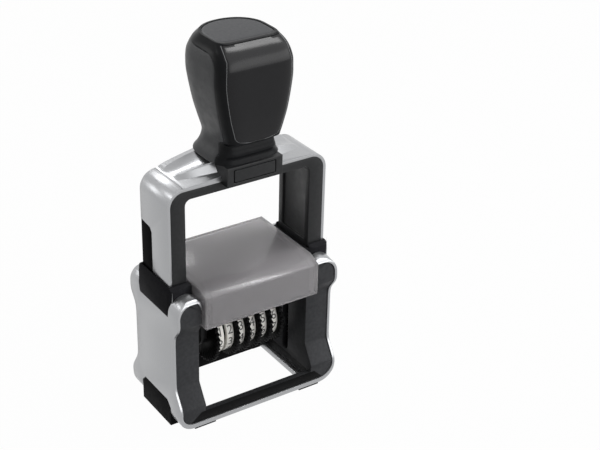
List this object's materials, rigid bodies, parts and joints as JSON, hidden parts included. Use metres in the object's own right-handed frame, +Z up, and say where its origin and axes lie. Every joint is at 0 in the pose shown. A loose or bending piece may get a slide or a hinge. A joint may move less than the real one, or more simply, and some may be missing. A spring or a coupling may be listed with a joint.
{
  "type": "self-inking number stamp",
  "caption": "Hand stamp with settable number bands that flips over from an ink pad under a smoky hood as its sprung bracket is pushed down by a palm handle.",
  "frame": {"origin": "on the table, under the middle of the base", "axes": "+Z up along the press stroke, +X to the right as seen from the front, front towards -Y"},
  "size_m": [0.0684, 0.0396, 0.1452],
  "materials": {
    "silver_shell": "satin silver",
    "dark_frame": "satin",
    "wear_strip": "smooth",
    "foot_rubber": "matte",
    "steel": "bright",
    "carriage": "satin",
    "band_rubber": "matte",
    "wheel_black": "satin",
    "figure_white": "matte",
    "handle_gloss": "gloss",
    "panel_gloss": "gloss",
    "grip_soft": "soft touch",
    "inlay_satin": "satin",
    "smoky_hood": "smoky clear",
    "tray_grey": "satin",
    "ink_felt": "inked felt"
  },
  "bodies": {
    "base": {"outer_shell": "silver_shell", "inner_frame": "dark_frame", "left_guide_collar": "dark_frame", "right_guide_collar": "dark_frame", "left_side_foot": "foot_rubber", "right_side_foot": "foot_rubber", "sill_pad_front_left": "foot_rubber", "sill_pad_front_right": "foot_rubber", "sill_pad_rear_left": "foot_rubber", "sill_pad_rear_right": "foot_rubber", "left_return_spring": "steel", "right_return_spring": "steel"},
    "bracket": {"bracket_frame": "dark_frame", "bracket_shell": "silver_shell", "left_crown": "silver_shell", "right_crown": "silver_shell", "left_wear_strip": "wear_strip", "right_wear_strip": "wear_strip", "saddle": "dark_frame", "handle_shell": "handle_gloss", "handle_grip": "grip_soft", "handle_panel": "panel_gloss", "handle_inlay": "inlay_satin"},
    "lock_button": {"lock_button": "dark_frame"},
    "cartridge": {"hood": "smoky_hood", "pad_tray": "tray_grey", "ink_pad": "ink_felt"},
    "print_unit": {"left_cheek": "carriage", "right_cheek": "carriage", "type_bridge": "carriage", "left_trunnion": "steel", "right_trunnion": "steel", "left_follower": "steel", "right_follower": "steel", "wheel_axle": "steel", "left_axle_clip": "steel", "right_axle_clip": "steel", "number_band_1": "band_rubber", "number_band_2": "band_rubber", "number_band_3": "band_rubber", "number_band_4": "band_rubber", "number_band_5": "band_rubber", "number_band_6": "band_rubber"},
    "wheel_1": {"number_wheel_1": "wheel_black", "figure_ring_1": "figure_white"},
    "wheel_2": {"number_wheel_2": "wheel_black", "figure_ring_2": "figure_white"},
    "wheel_3": {"number_wheel_3": "wheel_black", "figure_ring_3": "figure_white"},
    "wheel_4": {"number_wheel_4": "wheel_black", "figure_ring_4": "figure_white"},
    "wheel_5": {"number_wheel_5": "wheel_black", "figure_ring_5": "figure_white"},
    "wheel_6": {"number_wheel_6": "wheel_black", "figure_ring_6": "figure_white"}
  },
  "joints": [
    {"name": "press", "type": "slide", "parent": "base", "child": "bracket", "axis": [0, 0, -1], "range_m": [0, 0.031], "stiffness_N_per_m": 400, "springref_m": -0.012, "deforming": ["left_return_spring", "right_return_spring"]},
    {"name": "flip", "type": "hinge", "parent": "bracket", "child": "print_unit", "pos_m": [0, 0, 0.041], "axis": [1, 0, 0], "range_deg": [0, 180.2]},
    {"name": "lock_push", "type": "slide", "parent": "bracket", "child": "lock_button", "axis": [0, 1, 0], "range_m": [0, 0.0012], "stiffness_N_per_m": 300, "springref_m": -0.001},
    {"name": "cartridge_pull", "type": "slide", "parent": "base", "child": "cartridge", "axis": [0, -1, 0], "range_m": [0, 0.045]},
    {"name": "set_1", "type": "hinge", "parent": "print_unit", "child": "wheel_1", "pos_m": [0, 0, 0.0294], "axis": [1, 0, 0], "continuous": true},
    {"name": "set_2", "type": "hinge", "parent": "print_unit", "child": "wheel_2", "pos_m": [0, 0, 0.0294], "axis": [1, 0, 0], "continuous": true},
    {"name": "set_3", "type": "hinge", "parent": "print_unit", "child": "wheel_3", "pos_m": [0, 0, 0.0294], "axis": [1, 0, 0], "continuous": true},
    {"name": "set_4", "type": "hinge", "parent": "print_unit", "child": "wheel_4", "pos_m": [0, 0, 0.0294], "axis": [1, 0, 0], "continuous": true},
    {"name": "set_5", "type": "hinge", "parent": "print_unit", "child": "wheel_5", "pos_m": [0, 0, 0.0294], "axis": [1, 0, 0], "continuous": true},
    {"name": "set_6", "type": "hinge", "parent": "print_unit", "child": "wheel_6", "pos_m": [0, 0, 0.0294], "axis": [1, 0, 0], "continuous": true}
  ],
  "couplings": [
    {"joint": "flip", "follows": "press", "rad_per_m": 101.34}
  ]
}
